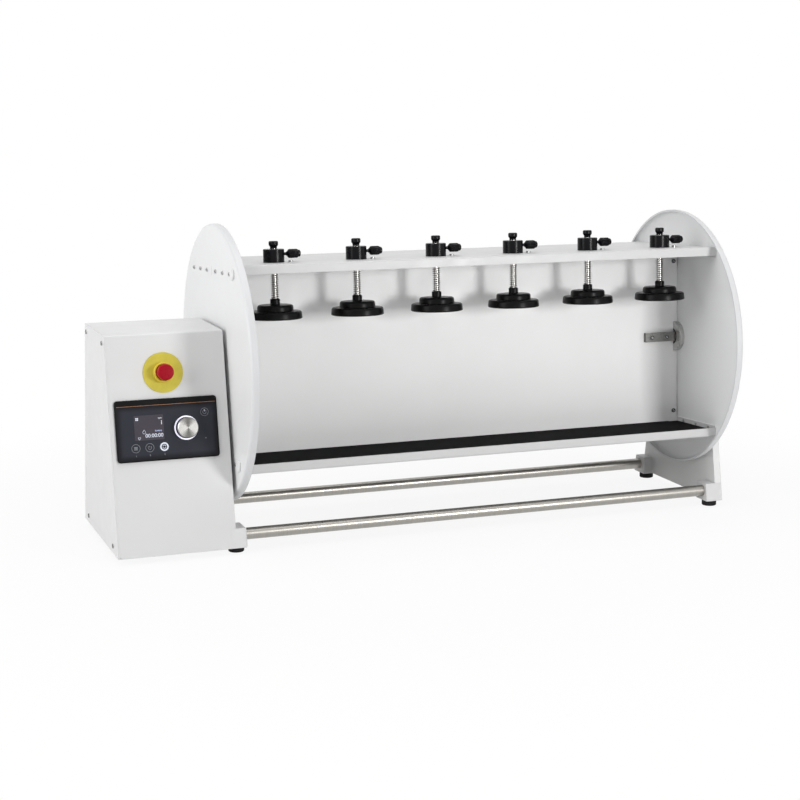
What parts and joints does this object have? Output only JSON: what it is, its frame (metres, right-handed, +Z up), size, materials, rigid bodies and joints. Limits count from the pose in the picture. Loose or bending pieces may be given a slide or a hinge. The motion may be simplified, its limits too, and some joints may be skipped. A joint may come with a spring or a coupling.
{
  "type": "bottle rotator",
  "caption": "Benchtop overhead rotator that turns clamped bottles end over end: drive housing, two discs, two trays, spring clamps, rods and stand.",
  "frame": {"origin": "on the bench, under the middle of the machine", "axes": "+X along the rotor axis from the drive housing to the stand, +Z up, -Y towards the user and the controls"},
  "size_m": [1.01, 0.426, 0.483],
  "materials": {
    "white_powder_coat": "satin powder coat",
    "stainless_rod": "ground",
    "ground_steel": "ground",
    "hub_steel": "turned",
    "black_rubber": "matt",
    "belt_rubber": "matt",
    "black_foam": "matt foam",
    "bearing_iron": "cast",
    "motor_paint": "painted",
    "pulley_aluminium": "turned",
    "black_glass": "gloss",
    "light_guide": "frosted",
    "dial_aluminium": "spun",
    "dial_stem_steel": "plain",
    "yellow_plate": "satin",
    "yellow_plastic": "moulded",
    "stop_stem_plastic": "moulded",
    "red_plastic": "moulded",
    "black_plastic": "moulded",
    "rocker_plastic": "moulded",
    "black_screw": "black oxide",
    "zinc_screw": "zinc plated",
    "clamp_black": "turned and black anodised",
    "spring_steel": "drawn wire",
    "pad_black": "moulded",
    "grip_black": "moulded"
  },
  "bodies": {
    "base": {"housing_shell": "white_powder_coat", "side_plate": "white_powder_coat", "side_plate_screws": "black_screw", "base_plate": "white_powder_coat", "foot_blocks": "white_powder_coat", "base_rods": "stainless_rod", "rubber_feet": "black_rubber", "stand": "white_powder_coat", "stand_cover": "white_powder_coat", "shaft_bearings": "bearing_iron", "gearmotor": "motor_paint", "drive_belt": "belt_rubber", "control_panel": "black_glass", "light_ring": "light_guide", "stop_plate": "yellow_plate", "stop_collar": "yellow_plastic", "mains_inlet": "black_plastic"},
    "rotor": {"left_disc": "white_powder_coat", "right_disc": "white_powder_coat", "top_tray": "white_powder_coat", "bottom_tray": "white_powder_coat", "partition": "white_powder_coat", "bottle_mats": "black_foam", "shaft_stubs": "ground_steel", "hub_flanges": "hub_steel", "driven_pulley": "pulley_aluminium", "rotor_screws": "zinc_screw", "disc_plugs": "white_powder_coat", "clamp_bodies": "clamp_black", "clamp_springs": "spring_steel"},
    "motor_pulley": {"motor_pulley": "pulley_aluminium"},
    "dial_stem": {"dial_stem": "dial_stem_steel"},
    "dial": {"dial": "dial_aluminium"},
    "stop_stem": {"stop_stem": "stop_stem_plastic"},
    "stop_button": {"stop_button": "red_plastic"},
    "power_rocker": {"power_rocker": "rocker_plastic"},
    "plunger_front_1": {"plunger_front_1": "pad_black"},
    "thumbscrew_front_1": {"thumbscrew_front_1": "grip_black"},
    "plunger_front_2": {"plunger_front_2": "pad_black"},
    "thumbscrew_front_2": {"thumbscrew_front_2": "grip_black"},
    "plunger_front_3": {"plunger_front_3": "pad_black"},
    "thumbscrew_front_3": {"thumbscrew_front_3": "grip_black"},
    "plunger_front_4": {"plunger_front_4": "pad_black"},
    "thumbscrew_front_4": {"thumbscrew_front_4": "grip_black"},
    "plunger_front_5": {"plunger_front_5": "pad_black"},
    "thumbscrew_front_5": {"thumbscrew_front_5": "grip_black"},
    "plunger_front_6": {"plunger_front_6": "pad_black"},
    "thumbscrew_front_6": {"thumbscrew_front_6": "grip_black"},
    "plunger_rear_1": {"plunger_rear_1": "pad_black"},
    "thumbscrew_rear_1": {"thumbscrew_rear_1": "grip_black"},
    "plunger_rear_2": {"plunger_rear_2": "pad_black"},
    "thumbscrew_rear_2": {"thumbscrew_rear_2": "grip_black"},
    "plunger_rear_3": {"plunger_rear_3": "pad_black"},
    "thumbscrew_rear_3": {"thumbscrew_rear_3": "grip_black"},
    "plunger_rear_4": {"plunger_rear_4": "pad_black"},
    "thumbscrew_rear_4": {"thumbscrew_rear_4": "grip_black"},
    "plunger_rear_5": {"plunger_rear_5": "pad_black"},
    "thumbscrew_rear_5": {"thumbscrew_rear_5": "grip_black"},
    "plunger_rear_6": {"plunger_rear_6": "pad_black"},
    "thumbscrew_rear_6": {"thumbscrew_rear_6": "grip_black"}
  },
  "joints": [
    {"name": "rotor_spin", "type": "hinge", "parent": "base", "child": "rotor", "pos_m": [0, 0, 0.27], "axis": [1, 0, 0], "continuous": true},
    {"name": "motor_spin", "type": "hinge", "parent": "base", "child": "motor_pulley", "pos_m": [0, 0, 0.12], "axis": [1, 0, 0], "continuous": true},
    {"name": "stop_press", "type": "slide", "parent": "base", "child": "stop_stem", "axis": [0, 0.983, -0.1835], "range_m": [0, 0.004], "stiffness_N_per_m": 900, "springref_m": -0.002},
    {"name": "stop_twist", "type": "hinge", "parent": "stop_stem", "child": "stop_button", "pos_m": [-0.421, -0.08464, 0.27448], "axis": [0, -0.983, 0.1835], "range_deg": [-45, 0], "stiffness_Nm_per_rad": 0.05},
    {"name": "dial_press", "type": "slide", "parent": "base", "child": "dial_stem", "axis": [0, 0.983, -0.1835], "range_m": [0, 0.0008], "stiffness_N_per_m": 1500, "springref_m": -0.0008},
    {"name": "dial_turn", "type": "hinge", "parent": "dial_stem", "child": "dial", "pos_m": [-0.3922, -0.09994, 0.1925], "axis": [0, -0.983, 0.1835], "continuous": true},
    {"name": "power_switch", "type": "hinge", "parent": "base", "child": "power_rocker", "pos_m": [-0.446, 0.12249, 0.06075], "axis": [-1, 0, 0], "range_deg": [-16, 0]},
    {"name": "clamp_lift_front_1", "type": "slide", "parent": "rotor", "child": "plunger_front_1", "axis": [0, 0.0523, 0.9986], "range_m": [0, 0.035], "stiffness_N_per_m": 250, "springref_m": -0.03, "deforming": ["clamp_springs"]},
    {"name": "thumbscrew_turn_front_1", "type": "hinge", "parent": "rotor", "child": "thumbscrew_front_1", "pos_m": [-0.24375, -0.06714, 0.44115], "axis": [1, 0, 0], "range_deg": [-180, 0]},
    {"name": "clamp_lift_front_2", "type": "slide", "parent": "rotor", "child": "plunger_front_2", "axis": [0, 0.0523, 0.9986], "range_m": [0, 0.035], "stiffness_N_per_m": 250, "springref_m": -0.03},
    {"name": "thumbscrew_turn_front_2", "type": "hinge", "parent": "rotor", "child": "thumbscrew_front_2", "pos_m": [-0.11325, -0.06714, 0.44115], "axis": [1, 0, 0], "range_deg": [-180, 0]},
    {"name": "clamp_lift_front_3", "type": "slide", "parent": "rotor", "child": "plunger_front_3", "axis": [0, 0.0523, 0.9986], "range_m": [0, 0.035], "stiffness_N_per_m": 250, "springref_m": -0.03},
    {"name": "thumbscrew_turn_front_3", "type": "hinge", "parent": "rotor", "child": "thumbscrew_front_3", "pos_m": [0.01725, -0.06714, 0.44115], "axis": [1, 0, 0], "range_deg": [-180, 0]},
    {"name": "clamp_lift_front_4", "type": "slide", "parent": "rotor", "child": "plunger_front_4", "axis": [0, 0.0523, 0.9986], "range_m": [0, 0.035], "stiffness_N_per_m": 250, "springref_m": -0.03},
    {"name": "thumbscrew_turn_front_4", "type": "hinge", "parent": "rotor", "child": "thumbscrew_front_4", "pos_m": [0.14775, -0.06714, 0.44115], "axis": [1, 0, 0], "range_deg": [-180, 0]},
    {"name": "clamp_lift_front_5", "type": "slide", "parent": "rotor", "child": "plunger_front_5", "axis": [0, 0.0523, 0.9986], "range_m": [0, 0.035], "stiffness_N_per_m": 250, "springref_m": -0.03},
    {"name": "thumbscrew_turn_front_5", "type": "hinge", "parent": "rotor", "child": "thumbscrew_front_5", "pos_m": [0.27825, -0.06714, 0.44115], "axis": [1, 0, 0], "range_deg": [-180, 0]},
    {"name": "clamp_lift_front_6", "type": "slide", "parent": "rotor", "child": "plunger_front_6", "axis": [0, 0.0523, 0.9986], "range_m": [0, 0.035], "stiffness_N_per_m": 250, "springref_m": -0.03},
    {"name": "thumbscrew_turn_front_6", "type": "hinge", "parent": "rotor", "child": "thumbscrew_front_6", "pos_m": [0.40875, -0.06714, 0.44115], "axis": [1, 0, 0], "range_deg": [-180, 0]},
    {"name": "clamp_lift_rear_1", "type": "slide", "parent": "rotor", "child": "plunger_rear_1", "axis": [0, -0.0523, -0.9986], "range_m": [0, 0.035], "stiffness_N_per_m": 250, "springref_m": -0.03, "deforming": ["clamp_springs"]},
    {"name": "thumbscrew_turn_rear_1", "type": "hinge", "parent": "rotor", "child": "thumbscrew_rear_1", "pos_m": [-0.24375, 0.06714, 0.09885], "axis": [1, 0, 0], "range_deg": [-180, 0]},
    {"name": "clamp_lift_rear_2", "type": "slide", "parent": "rotor", "child": "plunger_rear_2", "axis": [0, -0.0523, -0.9986], "range_m": [0, 0.035], "stiffness_N_per_m": 250, "springref_m": -0.03},
    {"name": "thumbscrew_turn_rear_2", "type": "hinge", "parent": "rotor", "child": "thumbscrew_rear_2", "pos_m": [-0.11325, 0.06714, 0.09885], "axis": [1, 0, 0], "range_deg": [-180, 0]},
    {"name": "clamp_lift_rear_3", "type": "slide", "parent": "rotor", "child": "plunger_rear_3", "axis": [0, -0.0523, -0.9986], "range_m": [0, 0.035], "stiffness_N_per_m": 250, "springref_m": -0.03},
    {"name": "thumbscrew_turn_rear_3", "type": "hinge", "parent": "rotor", "child": "thumbscrew_rear_3", "pos_m": [0.01725, 0.06714, 0.09885], "axis": [1, 0, 0], "range_deg": [-180, 0]},
    {"name": "clamp_lift_rear_4", "type": "slide", "parent": "rotor", "child": "plunger_rear_4", "axis": [0, -0.0523, -0.9986], "range_m": [0, 0.035], "stiffness_N_per_m": 250, "springref_m": -0.03},
    {"name": "thumbscrew_turn_rear_4", "type": "hinge", "parent": "rotor", "child": "thumbscrew_rear_4", "pos_m": [0.14775, 0.06714, 0.09885], "axis": [1, 0, 0], "range_deg": [-180, 0]},
    {"name": "clamp_lift_rear_5", "type": "slide", "parent": "rotor", "child": "plunger_rear_5", "axis": [0, -0.0523, -0.9986], "range_m": [0, 0.035], "stiffness_N_per_m": 250, "springref_m": -0.03},
    {"name": "thumbscrew_turn_rear_5", "type": "hinge", "parent": "rotor", "child": "thumbscrew_rear_5", "pos_m": [0.27825, 0.06714, 0.09885], "axis": [1, 0, 0], "range_deg": [-180, 0]},
    {"name": "clamp_lift_rear_6", "type": "slide", "parent": "rotor", "child": "plunger_rear_6", "axis": [0, -0.0523, -0.9986], "range_m": [0, 0.035], "stiffness_N_per_m": 250, "springref_m": -0.03},
    {"name": "thumbscrew_turn_rear_6", "type": "hinge", "parent": "rotor", "child": "thumbscrew_rear_6", "pos_m": [0.40875, 0.06714, 0.09885], "axis": [1, 0, 0], "range_deg": [-180, 0]}
  ],
  "couplings": [
    {"joint": "motor_spin", "follows": "rotor_spin", "ratio": 3}
  ]
}
